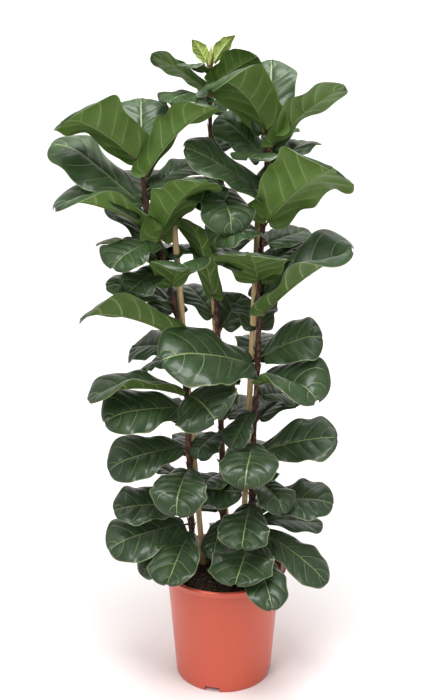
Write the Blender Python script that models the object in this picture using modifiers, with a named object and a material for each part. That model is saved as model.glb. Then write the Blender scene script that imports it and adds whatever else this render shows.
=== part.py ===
"""Potted fiddle leaf fig: three staked stems in one 24 cm nursery pot.

Metres, +Z up. The pot stands on Z = 0 with its axis on the Z axis.
-Y is the front of the plant. One object is one physical piece.
"""

import math

import bmesh
import bpy
from mathutils import Matrix, Vector

CM = 0.01
COLLECTION = "potted_fiddle_leaf_fig"

# Pot: a turned plastic shell with a rolled rim, a raised floor and a foot ring.
POT_HEIGHT = 0.224
POT_TOP_RADIUS = 0.108
POT_BASE_RADIUS = 0.091
POT_WALL = 0.0025
RIM_RADIUS = 0.120
RIM_DROP = 0.016
FOOT_HEIGHT = 0.010
FOOT_WIDTH = 0.006
CENTRE_FOOT_RADIUS = 0.012
POT_SEGMENTS = 48

# Drainage: notches in the foot ring and round holes in the raised floor.
NOTCHES = 4
NOTCH_WIDTH = 0.028
NOTCH_FIRST_BEARING = -104.0
DRAIN_HOLES = 5
DRAIN_RADIUS = 0.006
DRAIN_CIRCLE = 0.055

# Everything that touches keeps this gap.
CLEARANCE = 0.0003

SOIL_BELOW_RIM = 0.016
SOIL_CROWN = 0.004

STAKE_RADIUS = 0.0055
STAKE_DEPTH = 0.120
STEM_DEPTH = 0.030
STEM_BASE_RADIUS = 0.0060
STEM_TOP_RADIUS = 0.0034
STEM_STEP = 0.055

# Heights in the tables below are from the floor with the soil at this level; the plant
# moves up or down with the soil.
PLANTED_LEVEL = 0.208

# Stakes: where each leaves the soil and where it ends, in cm.
STAKES = {
    "left": ((-3.9, 1.9), (-8.7, 1.8, 87.5)),
    "right": ((3.5, 2.3), (5.9, 2.1, 87.0)),
    "rear": ((0.9, 6.3), (-3.0, 5.6, 95.0)),
}

# Stems: points from the soil to the growing tip, in cm.
STEMS = {
    "left": ((-5.8, 0.4, 20.8), (-6.2, 0.3, 38.0), (-6.7, 0.2, 55.0), (-8.2, 0.2, 70.0),
             (-10.6, 0.1, 80.0), (-13.0, 0.0, 89.0), (-14.0, 0.0, 99.0)),
    "right": ((5.2, 0.6, 20.8), (5.4, 0.5, 45.0), (6.0, 0.5, 60.0), (6.3, 0.4, 74.0),
              (6.7, 0.3, 86.0), (7.6, 0.2, 102.0)),
    "rear": ((0.0, 4.8, 20.8), (-0.5, 4.5, 50.0), (-1.4, 4.3, 75.0), (-2.2, 3.8, 95.0),
             (-2.4, 3.2, 112.6)),
}

# Leaf blade: half width along the blade, as shares of the leaf's own half width.
OUTLINE = ((0.0, 0.34), (0.08, 0.54), (0.22, 0.66), (0.38, 0.80), (0.55, 0.95), (0.70, 1.0),
           (0.84, 0.90), (0.94, 0.66), (1.0, 0.26))
LOBE_SWEEP = 0.05
TIP_SWEEP = 0.02
BLADE_ROWS = 6
BLADE_COLUMNS = 4
BLADE_THICKNESS = 0.0012
PETIOLE_THICKNESS = 0.0040
PETIOLE_LENGTH = 0.022

# Leaves narrower than this, in cm, are new and take the young colour.
YOUNG_LEAF_WIDTH = 4.0

# Leaves: stem, height on the stem, reach of the tip from the foot (right, back, up), width,
# all in cm, then three angles in degrees: arch is how far the leaf bends over along its
# length, fold lifts both halves off flat, and roll lifts the edge that is on the left when
# looking outward from the stem.
LEAVES = {
    "left_leaf_01": ("left", 97.5, (0.0, 5.5, 10.0), 8.8, 20, 10, 0),
    "left_leaf_02": ("left", 96.5, (-11.5, -9.0, 8.5), 13.0, 30, 30, 28),
    "left_leaf_03": ("left", 94.0, (12.0, -10.0, 12.5), 9.0, 35, 45, -15),
    "left_leaf_04": ("left", 89.0, (-14.5, -2.0, 12.0), 11.5, 10, 0, -32),
    "left_leaf_05": ("left", 85.0, (-15.5, -6.5, 6.5), 12.8, 35, 42, 0),
    "left_leaf_06": ("left", 83.0, (9.0, -9.5, 11.5), 11.0, 55, 20, -10),
    "left_leaf_07": ("left", 79.5, (-8.5, 6.5, 10.0), 9.0, 20, 15, 0),
    "left_leaf_08": ("left", 78.0, (-11.5, 1.0, 5.5), 8.5, 25, 35, 10),
    "left_leaf_09": ("left", 75.0, (2.5, -9.5, 7.0), 10.0, 25, 25, 0),
    "left_leaf_10": ("left", 66.0, (-16.5, -6.0, 6.0), 14.0, 35, 30, 28),
    "left_leaf_11": ("left", 64.0, (-9.0, 6.0, -1.5), 9.0, 20, 10, -25),
    "left_leaf_12": ("left", 55.5, (-16.5, -6.0, 1.5), 11.5, 40, 38, 5),
    "left_leaf_13": ("left", 55.5, (4.8, -10.0, 0.0), 12.0, 25, 10, 34),
    "left_leaf_14": ("left", 53.0, (-13.5, -7.0, 0.5), 10.5, 20, 10, -28),
    "left_leaf_15": ("left", 45.5, (-14.0, -5.0, -1.5), 10.0, 15, 10, -28),
    "left_leaf_16": ("left", 41.5, (-2.5, -11.0, -3.0), 10.0, 25, 20, 0),
    "left_leaf_17": ("left", 35.5, (9.0, -3.5, 3.0), 8.5, 15, 10, 25),
    "left_leaf_18": ("left", 33.5, (-13.5, -4.0, 1.5), 9.0, 20, 10, -22),
    "left_leaf_19": ("left", 30.0, (-14.5, -6.5, -1.5), 11.0, 20, 10, -22),
    "left_leaf_20": ("left", 29.0, (-3.5, -14.0, -4.0), 8.5, 25, 15, 0),
    "right_leaf_01": ("right", 101.0, (1.0, 5.5, 12.5), 8.8, 20, 10, 0),
    "right_leaf_02": ("right", 99.0, (11.5, -4.0, 10.5), 10.0, 25, 20, -20),
    "right_leaf_03": ("right", 101.0, (-10.0, -7.5, 10.0), 13.0, 65, 15, 20),
    "right_leaf_04": ("right", 97.0, (-8.0, 1.5, 7.5), 8.0, 15, 5, -35),
    "right_leaf_05": ("right", 91.5, (-13.0, -5.0, 8.0), 9.0, 15, 10, -40),
    "right_leaf_06": ("right", 86.0, (11.0, -10.5, 11.0), 15.5, 25, 30, -32),
    "right_leaf_07": ("right", 76.0, (-2.5, -11.0, 7.5), 11.5, 15, 10, 0),
    "right_leaf_08": ("right", 70.0, (15.0, -5.0, 13.0), 14.0, 20, 50, 18),
    "right_leaf_09": ("right", 62.5, (10.5, -2.0, 5.0), 11.0, 15, 10, 30),
    "right_leaf_10": ("right", 61.0, (-15.5, -10.0, 5.0), 13.5, 20, 10, -35),
    "right_leaf_11": ("right", 58.0, (10.5, -9.5, 3.0), 12.5, 30, 35, 5),
    "right_leaf_12": ("right", 46.5, (-1.5, -11.5, -2.5), 10.0, 20, 12, 0),
    "right_leaf_13": ("right", 44.0, (14.5, -3.0, 5.0), 10.5, 15, 10, 28),
    "right_leaf_14": ("right", 34.5, (-2.5, -12.0, -3.5), 9.0, 20, 10, 0),
    "right_leaf_15": ("right", 34.5, (14.0, -4.0, 1.5), 9.5, 15, 10, 22),
    "right_leaf_16": ("right", 30.5, (13.0, 3.0, -2.5), 7.5, 15, 10, 10),
    "right_leaf_17": ("right", 28.0, (-2.5, -14.0, -3.0), 11.0, 20, 10, 0),
    "right_leaf_18": ("right", 29.5, (13.2, -8.0, -7.4), 9.0, 18, 5, 6),
    "right_leaf_19": ("right", 25.5, (3.0, -16.0, -3.5), 7.5, 25, 10, 0),
    "rear_leaf_01": ("rear", 112.2, (-2.5, -1.0, 4.5), 2.6, 20, 20, 55),
    "rear_leaf_02": ("rear", 112.2, (4.0, 0.0, 5.0), 3.0, 25, 20, -55),
    "rear_leaf_03": ("rear", 109.0, (7.5, -4.0, 5.0), 7.5, 15, 10, -35),
    "rear_leaf_04": ("rear", 108.5, (-9.5, 0.5, 5.5), 6.5, 15, 10, 30),
    "rear_leaf_05": ("rear", 106.5, (-6.5, -5.0, 0.0), 9.5, 75, 5, -5),
    "rear_leaf_06": ("rear", 92.0, (4.0, -10.5, -5.0), 9.0, 40, 10, 0),
    "rear_leaf_07": ("rear", 72.0, (-4.0, -3.5, 16.0), 8.0, 10, 10, 0),
    "rear_leaf_08": ("rear", 29.5, (-1.8, -9.0, -4.0), 5.5, 20, 10, 0),
    "rear_leaf_09": ("rear", 98.0, (8.0, 10.0, 4.0), 10.0, 30, 15, 0),
    "rear_leaf_10": ("rear", 80.0, (9.5, 9.0, 3.0), 10.0, 30, 15, 0),
    "rear_leaf_11": ("rear", 58.0, (-9.0, 6.5, 2.0), 8.5, 30, 15, 0),
    "rear_leaf_12": ("rear", 40.0, (10.0, 9.5, 0.0), 10.0, 30, 15, 0),
}

TIE_ABOVE_SOIL = 0.177
TIE_WIRE = 0.0012

# name: colour (linear), roughness
COLOURS = {
    "terracotta_plastic": ((0.56, 0.115, 0.062), 0.38),
    "peat": ((0.030, 0.017, 0.010), 0.95),
    "pale_wood": ((0.66, 0.46, 0.24), 0.60),
    "bark": ((0.050, 0.020, 0.016), 0.75),
    "leaf_green": ((0.030, 0.085, 0.022), 0.35),
    "young_leaf": ((0.30, 0.42, 0.08), 0.45),
    "tie": ((0.020, 0.030, 0.020), 0.60),
}


def clear_scene():
    for item in list(bpy.data.objects):
        bpy.data.objects.remove(item, do_unlink=True)


def collection(name):
    group = bpy.data.collections.new(name)
    bpy.context.scene.collection.children.link(group)
    return group


def material(name, key):
    colour, roughness = COLOURS[key]
    made = bpy.data.materials.new(name)
    made.use_nodes = True
    shader = made.node_tree.nodes["Principled BSDF"]
    shader.inputs["Base Color"].default_value = (*colour, 1.0)
    shader.inputs["Roughness"].default_value = roughness
    return made


def add_object(name, data, group, key=None):
    item = bpy.data.objects.new(name, data)
    group.objects.link(item)
    if key:
        data.materials.append(material(name, key))
    return item


def smooth(mesh):
    for face in mesh.polygons:
        face.use_smooth = True


def smooth_through(points, z):
    """A smooth curve through (x, y, z) points that rise in z, read at one height."""
    last = len(points) - 2
    k = max(0, min(last, sum(1 for p in points[1:-1] if p[2] <= z)))
    low, high = points[k], points[k + 1]
    before, after = points[max(k - 1, 0)], points[min(k + 2, len(points) - 1)]
    span = high[2] - low[2]
    t = (z - low[2]) / span
    value = []
    for axis in range(2):
        slope_low = (high[axis] - before[axis]) / (high[2] - before[2]) * span
        slope_high = (after[axis] - low[axis]) / (after[2] - low[2]) * span
        value.append((2 * t**3 - 3 * t**2 + 1) * low[axis] + (t**3 - 2 * t**2 + t) * slope_low
                     + (3 * t**2 - 2 * t**3) * high[axis] + (t**3 - t**2) * slope_high)
    return value


# --- pot and soil ---------------------------------------------------------------------------

def wall_radius(z):
    """Outer radius of the pot's body at a height."""
    return POT_BASE_RADIUS + (POT_TOP_RADIUS - POT_BASE_RADIUS) * z / POT_HEIGHT


def turned(name, profile, group, key=None):
    """Turn a closed (radius, height) profile that starts and ends on the axis, or is a ring."""
    mesh = bpy.data.meshes.new(name)
    outline = bmesh.new()
    ring = [outline.verts.new((radius, 0.0, height)) for radius, height in profile]
    for first, second in zip(ring, ring[1:]):
        outline.edges.new((first, second))
    outline.to_mesh(mesh)
    outline.free()
    item = add_object(name, mesh, group, key)
    screw = item.modifiers.new("turn", "SCREW")
    screw.axis = "Z"
    screw.steps = screw.render_steps = POT_SEGMENTS
    screw.use_merge_vertices = True
    screw.merge_threshold = 0.00005
    screw.use_normal_calculate = True
    return item


def pot_profile():
    lip = RIM_RADIUS - 0.0015
    inside = POT_WALL
    floor_low = FOOT_HEIGHT
    floor_high = FOOT_HEIGHT + POT_WALL
    foot_inner = POT_BASE_RADIUS - FOOT_WIDTH
    rim_low = POT_HEIGHT - RIM_DROP
    return [
        (0.0, 0.0),
        (CENTRE_FOOT_RADIUS, 0.0),
        (CENTRE_FOOT_RADIUS, floor_low),
        (foot_inner, floor_low),
        (foot_inner, 0.0),
        (POT_BASE_RADIUS - 0.001, 0.0),
        (POT_BASE_RADIUS, 0.001),
        (wall_radius(rim_low), rim_low),
        (RIM_RADIUS - 0.004, rim_low + 0.001),
        (lip, rim_low + 0.004),
        (RIM_RADIUS, POT_HEIGHT - 0.004),
        (RIM_RADIUS - 0.001, POT_HEIGHT - 0.001),
        (RIM_RADIUS - 0.003, POT_HEIGHT),
        (POT_TOP_RADIUS, POT_HEIGHT - 0.001),
        (POT_TOP_RADIUS - inside, POT_HEIGHT - 0.004),
        (wall_radius(floor_high + 0.004) - inside, floor_high + 0.004),
        (wall_radius(floor_high) - inside - 0.004, floor_high),
        (0.0, floor_high),
    ]


def cutter(item, group):
    for owner in list(item.users_collection):
        owner.objects.unlink(item)
    group.objects.link(item)
    item.hide_render = True
    item.display_type = "WIRE"
    return item


def cut(item, tool):
    step = item.modifiers.new(tool.name, "BOOLEAN")
    step.operation = "DIFFERENCE"
    step.solver = "EXACT"
    step.object = tool


def build_pot(group, cutters):
    pot = turned("pot", pot_profile(), group, "terracotta_plastic")
    for k in range(NOTCHES):
        bearing = math.radians(NOTCH_FIRST_BEARING + 360.0 * k / NOTCHES)
        centre = POT_BASE_RADIUS - FOOT_WIDTH / 2
        bpy.ops.mesh.primitive_cube_add(
            size=1.0, location=(centre * math.cos(bearing), centre * math.sin(bearing), 0.0),
            rotation=(0.0, 0.0, bearing))
        tool = cutter(bpy.context.object, cutters)
        tool.name = f"notch_{k + 1}"
        tool.scale = (FOOT_WIDTH * 3, NOTCH_WIDTH, (FOOT_HEIGHT - 0.001) * 2)
        cut(pot, tool)
    for k in range(DRAIN_HOLES):
        bearing = 2 * math.pi * (k + 0.5) / DRAIN_HOLES
        bpy.ops.mesh.primitive_cylinder_add(
            vertices=16, radius=DRAIN_RADIUS, depth=POT_WALL * 4,
            location=(DRAIN_CIRCLE * math.cos(bearing), DRAIN_CIRCLE * math.sin(bearing),
                      FOOT_HEIGHT + POT_WALL / 2))
        tool = cutter(bpy.context.object, cutters)
        tool.name = f"drain_{k + 1}"
        cut(pot, tool)
    return pot


def soil_top():
    return POT_HEIGHT - SOIL_BELOW_RIM


def plant_lift():
    """How far the soil stands above the level the tables are measured with."""
    return soil_top() - PLANTED_LEVEL


def build_soil(group, cutters):
    low = FOOT_HEIGHT + POT_WALL + CLEARANCE
    top = soil_top()
    gap = POT_WALL + CLEARANCE

    def radius(z):
        return wall_radius(z) - gap - 0.0006

    profile = [(0.0, low), (radius(low) - 0.005, low), (radius(low + 0.005), low + 0.005),
               (radius(top), top - 0.002), (radius(top) - 0.006, top),
               (radius(top) * 0.5, top + SOIL_CROWN * 0.7), (0.0, top + SOIL_CROWN)]
    soil = turned("soil", profile, group, "peat")
    for name in STAKES:
        foot, head = stake_ends(name)
        cut(soil, socket(f"stake_socket_{name}", foot, head, STAKE_RADIUS, cutters))
    for name, points in STEMS.items():
        foot = stem_point(name, soil_top() - STEM_DEPTH)
        head = foot + Vector((0.0, 0.0, STEM_DEPTH * 2))
        cut(soil, socket(f"stem_socket_{name}", foot, head, STEM_BASE_RADIUS, cutters))
    return soil


def socket(name, foot, head, radius, cutters):
    """A hole that clears a rod by CLEARANCE, all round and below its foot."""
    along = (head - foot).normalized()
    length = STAKE_DEPTH * 1.6 if radius == STAKE_RADIUS else STEM_DEPTH * 2
    start = foot - along * CLEARANCE
    middle = start + along * length / 2
    bpy.ops.mesh.primitive_cylinder_add(
        vertices=16, radius=(radius + CLEARANCE) / math.cos(math.pi / 16), depth=length,
        location=middle, rotation=along.to_track_quat("Z", "Y").to_euler())
    tool = cutter(bpy.context.object, cutters)
    tool.name = name
    return tool


# --- stakes, stems and tie ------------------------------------------------------------------

def tube(name, points, radii, depth, group, key, cyclic=False, resolution=2):
    curve = bpy.data.curves.new(name, "CURVE")
    curve.dimensions = "3D"
    curve.bevel_depth = depth
    curve.bevel_resolution = resolution
    curve.use_fill_caps = not cyclic
    spline = curve.splines.new("POLY")
    spline.points.add(len(points) - 1)
    for point, place, radius in zip(spline.points, points, radii):
        point.co = (*place, 1.0)
        point.radius = radius
    spline.use_cyclic_u = cyclic
    spline.use_smooth = True
    return add_object(name, curve, group, key)


def stake_ends(name):
    (x, y), top = STAKES[name]
    surface = Vector((x * CM, y * CM, soil_top()))
    head = Vector(top) * CM + Vector((0.0, 0.0, plant_lift()))
    along = (head - surface).normalized()
    return surface - along * STAKE_DEPTH, head


def build_stake(name, group):
    foot, head = stake_ends(name)
    return tube(f"{name}_stake", [foot, head], [1.0, 1.0], STAKE_RADIUS, group, "pale_wood",
                resolution=4)


def stem_point(name, z):
    """Centre of a stem at a height in metres; below its first point it goes straight down."""
    points = STEMS[name]
    x, y = smooth_through(points, max((z - plant_lift()) / CM, points[0][2]))
    return Vector((x * CM, y * CM, z))


def stem_top(name):
    return STEMS[name][-1][2] * CM + plant_lift()


def stem_radius(name, z):
    low = soil_top()
    high = stem_top(name)
    share = max(0.0, min(1.0, (z - low) / (high - low)))
    return STEM_BASE_RADIUS + (STEM_TOP_RADIUS - STEM_BASE_RADIUS) * share


def stem_heights(name):
    low = soil_top()
    high = stem_top(name)
    count = math.ceil((high - low) / STEM_STEP)
    return [low - STEM_DEPTH] + [low + (high - low) * k / count for k in range(count + 1)]


def build_stem(name, group):
    heights = stem_heights(name)
    points = [stem_point(name, z) for z in heights]
    radii = [stem_radius(name, z) / STEM_BASE_RADIUS for z in heights]
    return tube(f"{name}_stem", points, radii, STEM_BASE_RADIUS, group, "bark", resolution=3)


def build_tie(group):
    """A wire loop round the right stem and its stake."""
    height = soil_top() + TIE_ABOVE_SOIL
    stem = stem_point("right", height)
    foot, head = stake_ends("right")
    stake = foot + (head - foot) * (height - foot.z) / (head.z - foot.z)
    across = (stem - stake).normalized()
    turn = math.atan2(across.y, across.x)
    points = []
    for centre, radius, start in ((stem, stem_radius("right", height), -90.0),
                                  (stake, STAKE_RADIUS, 90.0)):
        reach = radius + TIE_WIRE + CLEARANCE * 2
        for k in range(7):
            angle = turn + math.radians(start + 30.0 * k)
            points.append(centre + Vector((math.cos(angle), math.sin(angle), 0.0)) * reach)
    return tube("stem_tie", points, [1.0] * len(points), TIE_WIRE, group, "tie", cyclic=True,
                resolution=1)


# --- leaves ---------------------------------------------------------------------------------

def outline_width(along):
    for (start, low), (end, high) in zip(OUTLINE, OUTLINE[1:]):
        if along <= end:
            share = (along - start) / (end - start)
            return low + (high - low) * share
    return OUTLINE[-1][1]


class Leaf:
    """One leaf's spine: an arc in the upright plane of its reach, with its own up and side."""

    def __init__(self, stem, height, reach, width, arch, fold, roll):
        height = height * CM + plant_lift()
        self.width = width * CM
        self.fold = math.radians(fold)
        self.roll = math.radians(roll)
        reach = Vector(reach) * CM
        self.outward = Vector((reach.x, reach.y, 0.0)).normalized()
        level = math.hypot(reach.x, reach.y)
        self.arch = math.radians(max(arch, 1))
        self.rise = math.atan2(reach.z, level) + self.arch / 2
        start = stem_radius(stem, height) + CLEARANCE
        slope = math.sin(self.rise) + self.lean(stem, height) * math.cos(self.rise)
        start += PETIOLE_THICKNESS / 2 * abs(slope)
        self.foot = stem_point(stem, height) + self.outward * start
        self.length = reach.length * (self.arch / 2) / math.sin(self.arch / 2)
        self.petiole = min(PETIOLE_LENGTH, self.length * 0.2)

    def lean(self, stem, height):
        """How far the stem slopes towards the leaf, per unit of height."""
        rise = CM
        shift = stem_point(stem, height + rise) - stem_point(stem, height)
        return shift.dot(self.outward) / rise

    def frame(self, distance, share=1.0):
        """Place, direction, side and up at a distance along the spine, after a share of the roll."""
        turn = self.arch * distance / self.length
        angle = self.rise - turn
        radius = self.length / self.arch
        level = radius * (math.sin(self.rise) - math.sin(angle))
        up = radius * (math.cos(angle) - math.cos(self.rise))
        place = self.foot + self.outward * level + Vector((0.0, 0.0, up))
        ahead = self.outward * math.cos(angle) + Vector((0.0, 0.0, math.sin(angle)))
        side = Vector((0.0, 0.0, 1.0)).cross(self.outward)
        spin = Matrix.Rotation(self.roll * share, 3, ahead)
        side = spin @ side
        return place, ahead, side, ahead.cross(side)

    def blade_point(self, along, across):
        """A point of the blade: along runs 0 to 1, across runs -1 to 1 from right to left."""
        blade = self.length - self.petiole
        edge = abs(across)
        sweep = LOBE_SWEEP * edge * (1 - along) ** 6 + TIP_SWEEP * edge**2 * along**12
        distance = self.petiole + blade * (along - sweep)
        place, _, side, up = self.frame(distance)
        half = self.width / 2 * outline_width(along) * across
        return place + side * half * math.cos(self.fold) + up * abs(half) * math.sin(self.fold)

    def petiole_point(self, along, across):
        place, _, side, _ = self.frame(self.petiole * along, along)
        return place + side * across * PETIOLE_THICKNESS / 2


def build_leaf(name, values, group):
    leaf = Leaf(*values)
    mesh = bpy.data.meshes.new(name)
    grid = bmesh.new()
    bmesh.ops.create_grid(grid, x_segments=BLADE_ROWS + 2, y_segments=BLADE_COLUMNS, size=1.0)
    weights = grid.verts.layers.deform.verify()
    for vert in grid.verts:
        row = round((vert.co.x + 1) / 2 * (BLADE_ROWS + 2))
        across = vert.co.y
        if row < 2:
            vert.co = leaf.petiole_point(row * 0.8, across)
            vert[weights][0] = 1.0
        else:
            vert.co = leaf.blade_point(math.sin(math.pi / 2 * (row - 2) / BLADE_ROWS), across)
            vert[weights][0] = 0.25 if across == 0.0 else 0.0
    bmesh.ops.recalc_face_normals(grid, faces=grid.faces)
    grid.to_mesh(mesh)
    grid.free()
    young = values[3] < YOUNG_LEAF_WIDTH
    item = add_object(name, mesh, group, "young_leaf" if young else "leaf_green")
    item.vertex_groups.new(name="thick")
    shell = item.modifiers.new("thickness", "SOLIDIFY")
    shell.thickness = PETIOLE_THICKNESS
    shell.offset = 0.0
    shell.vertex_group = "thick"
    shell.thickness_vertex_group = BLADE_THICKNESS / PETIOLE_THICKNESS
    smooth(mesh)
    return item


def main():
    clear_scene()
    group = collection(COLLECTION)
    cutters = collection("cutters")
    build_pot(group, cutters)
    build_soil(group, cutters)
    for name in STAKES:
        build_stake(name, group)
    for name in STEMS:
        build_stem(name, group)
    build_tie(group)
    for name, values in LEAVES.items():
        build_leaf(name, values, group)


main()
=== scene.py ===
"""Potted fiddle leaf fig: the visual model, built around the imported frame."""

import math
import random

import bmesh
import bpy
import numpy as np
from mathutils import Matrix, Vector, noise


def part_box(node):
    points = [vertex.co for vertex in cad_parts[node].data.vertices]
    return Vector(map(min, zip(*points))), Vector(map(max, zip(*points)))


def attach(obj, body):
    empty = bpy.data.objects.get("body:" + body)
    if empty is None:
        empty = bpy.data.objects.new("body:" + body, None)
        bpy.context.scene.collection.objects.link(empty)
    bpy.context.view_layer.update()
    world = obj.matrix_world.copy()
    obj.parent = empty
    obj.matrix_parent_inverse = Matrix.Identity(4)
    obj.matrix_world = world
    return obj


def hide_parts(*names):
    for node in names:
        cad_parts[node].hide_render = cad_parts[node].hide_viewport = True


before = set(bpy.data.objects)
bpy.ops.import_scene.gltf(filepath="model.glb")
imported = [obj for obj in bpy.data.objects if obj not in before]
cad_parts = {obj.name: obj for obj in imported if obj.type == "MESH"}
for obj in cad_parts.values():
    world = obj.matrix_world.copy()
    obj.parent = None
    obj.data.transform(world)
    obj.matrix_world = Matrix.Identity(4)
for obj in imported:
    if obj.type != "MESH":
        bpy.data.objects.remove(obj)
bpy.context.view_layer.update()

bl_info = {
    "name": "Potted Fiddle Leaf Fig",
    "version": (1, 0, 0),
    "blender": (4, 5, 0),
    "location": "View3D > Sidebar > Fig",
    "description": "Builds a staked fiddle leaf fig in a nursery pot",
    "category": "Add Mesh",
}

CM = 0.01
BODY = "root"
POT_LOW, POT_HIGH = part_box("pot")
SOIL_LOW, SOIL_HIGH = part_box("soil")

# Stakes: where each leaves the soil and where it ends, in cm.
STAKES = {
    "left": ((-3.9, 1.9), (-8.7, 1.8, 87.5)),
    "right": ((3.5, 2.3), (5.9, 2.1, 87.0)),
    "rear": ((0.9, 6.3), (-3.0, 5.6, 95.0)),
}

# Stems: points from the soil to the growing tip, in cm.
STEMS = {
    "left": ((-5.8, 0.4, 20.8), (-6.2, 0.3, 38.0), (-6.7, 0.2, 55.0), (-8.2, 0.2, 70.0),
             (-10.6, 0.1, 80.0), (-13.0, 0.0, 89.0), (-14.0, 0.0, 99.0)),
    "right": ((5.2, 0.6, 20.8), (5.4, 0.5, 45.0), (6.0, 0.5, 60.0), (6.3, 0.4, 74.0),
              (6.7, 0.3, 86.0), (7.6, 0.2, 102.0)),
    "rear": ((0.0, 4.8, 20.8), (-0.5, 4.5, 50.0), (-1.4, 4.3, 75.0), (-2.2, 3.8, 95.0),
             (-2.4, 3.2, 112.6)),
}
SOIL_LINE = 0.208
STEM_DEPTH = 0.030
STAKE_DEPTH = 0.120
STEM_BASE_RADIUS = 0.0060
STEM_TOP_RADIUS = 0.0034
STAKE_RADIUS = 0.0055

# Leaves of each stem: height on it, reach of the tip from the foot (right, back, up), width,
# all in cm, then in degrees the arch over the length, the fold of both halves and the roll
# that lifts the left edge, looking outward from the stem.
LEAVES = {
    "left": (
        (97.5, (0.0, 5.5, 10.0), 8.8, 20, 10, 0),
        (96.5, (-11.5, -9.0, 8.5), 13.0, 30, 30, 28),
        (94.0, (12.0, -10.0, 12.5), 9.0, 35, 45, -15),
        (89.0, (-14.5, -2.0, 12.0), 11.5, 10, 0, -32),
        (85.0, (-15.5, -6.5, 6.5), 12.8, 35, 42, 0),
        (83.0, (9.0, -9.5, 11.5), 11.0, 55, 20, -10),
        (79.5, (-8.5, 6.5, 10.0), 9.0, 20, 15, 0),
        (78.0, (-11.5, 1.0, 5.5), 8.5, 25, 35, 10),
        (75.0, (2.5, -9.5, 7.0), 10.0, 25, 25, 0),
        (66.0, (-16.5, -6.0, 6.0), 14.0, 35, 30, 28),
        (64.0, (-9.0, 6.0, -1.5), 9.0, 20, 10, -25),
        (55.5, (-16.5, -6.0, 1.5), 11.5, 40, 38, 5),
        (55.5, (4.8, -10.0, 0.0), 12.0, 25, 10, 34),
        (53.0, (-13.5, -7.0, 0.5), 10.5, 20, 10, -28),
        (45.5, (-14.0, -5.0, -1.5), 10.0, 15, 10, -28),
        (41.5, (-2.5, -11.0, -3.0), 10.0, 25, 20, 0),
        (35.5, (9.0, -3.5, 3.0), 8.5, 15, 10, 25),
        (33.5, (-13.5, -4.0, 1.5), 9.0, 20, 10, -22),
        (30.0, (-14.5, -6.5, -1.5), 11.0, 20, 10, -22),
        (29.0, (-3.5, -14.0, -4.0), 8.5, 25, 15, 0),
    ),
    "right": (
        (101.0, (1.0, 5.5, 12.5), 8.8, 20, 10, 0),
        (99.0, (11.5, -4.0, 10.5), 10.0, 25, 20, -20),
        (101.0, (-10.0, -7.5, 10.0), 13.0, 65, 15, 20),
        (97.0, (-8.0, 1.5, 7.5), 8.0, 15, 5, -35),
        (91.5, (-13.0, -5.0, 8.0), 9.0, 15, 10, -40),
        (86.0, (11.0, -10.5, 11.0), 15.5, 25, 30, -32),
        (76.0, (-2.5, -11.0, 7.5), 11.5, 15, 10, 0),
        (70.0, (15.0, -5.0, 13.0), 15.0, 20, 57, 18),
        (62.5, (10.5, -2.0, 5.0), 11.0, 15, 10, 30),
        (61.0, (-15.5, -10.0, 5.0), 13.5, 20, 10, -35),
        (57.5, (9.6, -10.6, 2.2), 12.8, 30, 43, 8),
        (46.5, (-1.5, -11.5, -2.5), 10.0, 20, 12, 0),
        (44.0, (14.5, -3.0, 5.0), 10.5, 15, 10, 28),
        (34.5, (-2.5, -12.0, -3.5), 9.0, 20, 10, 0),
        (34.5, (14.0, -4.0, 1.5), 9.5, 15, 10, 22),
        (30.5, (13.0, 3.0, -2.5), 7.5, 15, 10, 10),
        (28.0, (-2.5, -14.0, -3.0), 11.0, 20, 10, 0),
        (29.5, (13.2, -8.0, -7.4), 9.0, 18, 5, 6),
        (25.5, (3.0, -16.0, -3.5), 7.5, 25, 10, 0),
    ),
    "rear": (
        (112.2, (-2.5, -1.0, 4.5), 2.6, 20, 20, 55),
        (112.2, (4.0, 0.0, 5.0), 3.0, 25, 20, -55),
        (109.0, (7.5, -4.0, 5.0), 7.5, 15, 10, -35),
        (108.5, (-9.5, 0.5, 5.5), 6.5, 15, 10, 30),
        (106.5, (-6.5, -5.0, 0.0), 9.5, 75, 5, -5),
        (92.0, (4.0, -10.5, -5.0), 9.0, 40, 10, 0),
        (72.0, (-4.0, -3.5, 16.0), 8.0, 10, 10, 0),
        (29.5, (-1.8, -9.0, -4.0), 5.5, 20, 10, 0),
        (98.0, (8.0, 10.0, 4.0), 10.0, 30, 15, 0),
        (80.0, (9.5, 9.0, 3.0), 10.0, 30, 15, 0),
        (58.0, (-9.0, 6.5, 2.0), 8.5, 30, 15, 0),
        (40.0, (10.0, 9.5, 0.0), 10.0, 30, 15, 0),
    ),
}

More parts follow.
